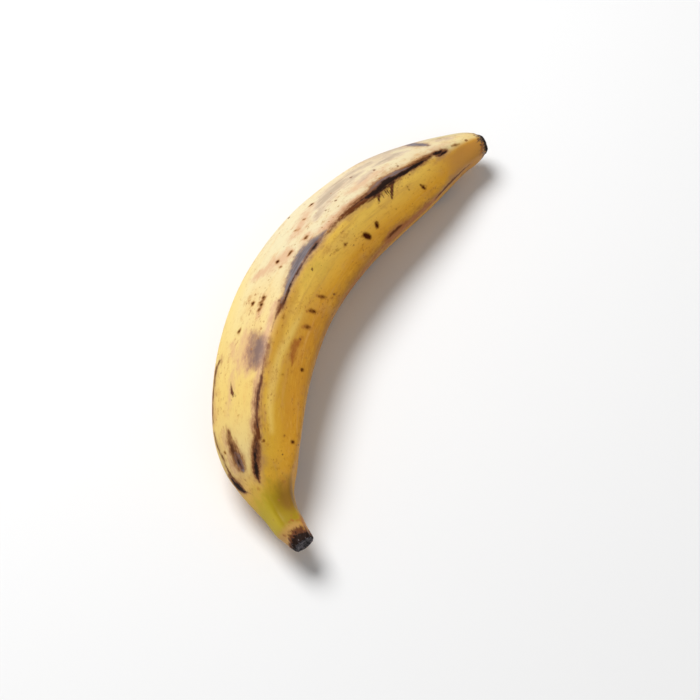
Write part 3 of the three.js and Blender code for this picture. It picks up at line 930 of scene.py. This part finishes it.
def peel_material():
    """Ripe peel with its colours and marks. Dead parts are duller, and dark ones a little sunk in."""
    peel = Peel("ripe_peel")
    inner_face(peel)
    lit_pale_faces(peel)
    weathering_and_tip_shade(peel)
    neck_and_tip(peel)
    soft_marks(peel)
    brown = brown_marks(peel)
    slate = slate_marks(peel)
    spot = specks_and_spots(peel)
    black = black_marks(peel)
    charred = dry_ends(peel)
    peel.link(peel.colour, peel.shader.inputs["Base Color"])

    dark = peel.larger(black, peel.larger(slate, charred))
    dead = peel.larger(dark, peel.larger(brown, spot))
    sheen = peel.times(peel.step(dead, 0.0, 1.0, 0.25, 0.09), peel.step(spot, 0.0, 1.0, 1.0, 0.2))
    peel.link(sheen, peel.shader.inputs["Specular IOR Level"])
    roughness = peel.math("ADD", peel.step(peel.mottle, 0.3, 0.75, 0.42, 0.56), peel.times(dark, 0.06))
    peel.link(roughness, peel.shader.inputs["Roughness"])
    normal = peel.bump(peel.noise(9, 3, 2.0), 0.25, 0.5)
    normal = peel.bump(peel.streak, 0.25, 0.18, normal)
    normal = peel.bump(peel.grain, 0.35, 0.08, normal)
    normal = peel.bump(dark, 0.5, -0.12, normal)
    normal = peel.bump(peel.times(charred, peel.fine), 0.9, 0.5, normal)
    peel.link(normal, peel.shader.inputs["Normal"])
    return peel.material


def dry_material(name, colours, scale, depth):
    """Dry, dark, crusty tissue, faintly ringed about its middle: the cut stalk and the blossom scar."""
    dry = Nodes(name)
    hollow, raised = colours
    flecks = tuple(2.2 * share + 0.05 for share in raised)
    coarse = dry.noise(scale, 1.0, 5.0, 0.65)
    fine = dry.noise(scale / 3, 1.0, 4.0, 0.65, (0.2, 0.0, 0.1))
    rings = dry.math("SINE", dry.math("MULTIPLY_ADD", dry.field("axis"), 4.2, dry.times(coarse, 16.0)))
    height = dry.math("MULTIPLY_ADD", dry.step(rings, -1.0, 1.0), 0.07, coarse)
    colour = dry.mix(hollow, raised, dry.step(height, 0.42, 0.76))
    colour = dry.mix(colour, flecks, dry.step(fine, 0.56, 0.70, 0.0, 0.8))
    dry.link(colour, dry.shader.inputs["Base Color"])
    dry.link(dry.step(fine, 0.3, 0.7, 0.6, 0.9), dry.shader.inputs["Roughness"])
    dry.link(0.15, dry.shader.inputs["Specular IOR Level"])
    normal = dry.bump(height, 0.8, depth)
    dry.link(dry.bump(fine, 0.7, depth / 2, normal), dry.shader.inputs["Normal"])
    return dry.material


CUT_END, SCAR_START = 1.0, 274.4
PEEL_SLOT, CUT_SLOT, SCAR_SLOT = 0, 1, 2


def slot_at(place):
    """The material slot there: the stalk's cut first, then the peel, then the blossom scar."""
    if place < CUT_END:
        return CUT_SLOT
    return SCAR_SLOT if place > SCAR_START else PEEL_SLOT


mesh.materials.append(peel_material())
mesh.materials.append(dry_material("dry_stalk_cut", CUT_COLOURS, 1.9, 0.5))
mesh.materials.append(dry_material("blossom_scar", SCAR_COLOURS, 1.6, 0.7))
for polygon in mesh.polygons:
    polygon.material_index = slot_at(np.mean([PLACE[i] for i in polygon.vertices]))

plantain = bpy.data.objects.new("plantain_fruit", mesh)
bpy.context.scene.collection.objects.link(plantain)
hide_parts("plantain")
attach(plantain, "root")

# ---------------------------------------- floor, light and camera, in metres
FLOOR_SIZE = 3.0
FLOOR_WHITE = (0.84, 0.84, 0.84, 1)
CAMERA_PLACE = (-0.3911, -0.1693, 0.7108)
CAMERA_HEADING, CAMERA_DIP = math.radians(22), math.radians(60)
LENS, SENSOR = 85.76, 36
SOFT_LIGHT = 0.26


def floor():
    """A wide pale floor under the fruit."""
    bm = bmesh.new()
    bmesh.ops.create_grid(bm, x_segments=8, y_segments=8, size=FLOOR_SIZE)
    floor_mesh = bpy.data.meshes.new("floor")
    bm.to_mesh(floor_mesh)
    bm.free()
    obj = bpy.data.objects.new("floor", floor_mesh)
    bpy.context.scene.collection.objects.link(obj)
    material = bpy.data.materials.new("pale_floor")
    material.use_nodes = True
    shader = material.node_tree.nodes["Principled BSDF"]
    shader.inputs["Base Color"].default_value = FLOOR_WHITE
    shader.inputs["Roughness"].default_value = 0.9
    shader.inputs["Specular IOR Level"].default_value = 0.1
    floor_mesh.materials.append(material)
    obj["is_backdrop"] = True


def lamp(name, direction, distance, size, power, target=(0.0, 0.0, 0.02)):
    """A round soft lamp in that direction from the target, turned to it."""
    light = bpy.data.lights.new(name, "AREA")
    light.shape = "DISK"
    light.size = size
    light.energy = power
    obj = bpy.data.objects.new(name, light)
    bpy.context.scene.collection.objects.link(obj)
    way = Vector(direction).normalized()
    obj.location = Vector(target) + way * distance
    obj.rotation_euler = way.to_track_quat("Z", "Y").to_euler()


def soft_light():
    """Even white light from all round."""
    world = bpy.data.worlds.new("studio")
    bpy.context.scene.world = world
    world.use_nodes = True
    background = world.node_tree.nodes["Background"]
    background.inputs["Color"].default_value = (1, 1, 1, 1)
    background.inputs["Strength"].default_value = SOFT_LIGHT


def camera():
    """A long lens, looking down on the fruit from beyond its stalk end."""
    data = bpy.data.cameras.new("camera")
    data.sensor_width = SENSOR
    data.lens = LENS
    data.clip_end = 20
    obj = bpy.data.objects.new("camera", data)
    bpy.context.scene.collection.objects.link(obj)
    level, drop = math.cos(CAMERA_DIP), math.sin(CAMERA_DIP)
    look = Vector((math.cos(CAMERA_HEADING) * level, math.sin(CAMERA_HEADING) * level, -drop))
    obj.location = Vector(CAMERA_PLACE)
    obj.rotation_euler = look.to_track_quat("-Z", "Y").to_euler()
    bpy.context.scene.camera = obj


floor()
camera()
lamp("key", direction=(0.22, 0.48, 0.85), distance=1.5, size=0.9, power=25)
lamp("fill", direction=(-0.6, -0.7, 0.7), distance=1.8, size=1.4, power=4)
soft_light()
bpy.context.scene.view_settings.view_transform = "Standard"

plain = lambda box: [[float(v) for v in corner] for corner in box]
{"cad": plain(cad_bounds), "visual": plain(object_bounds())}
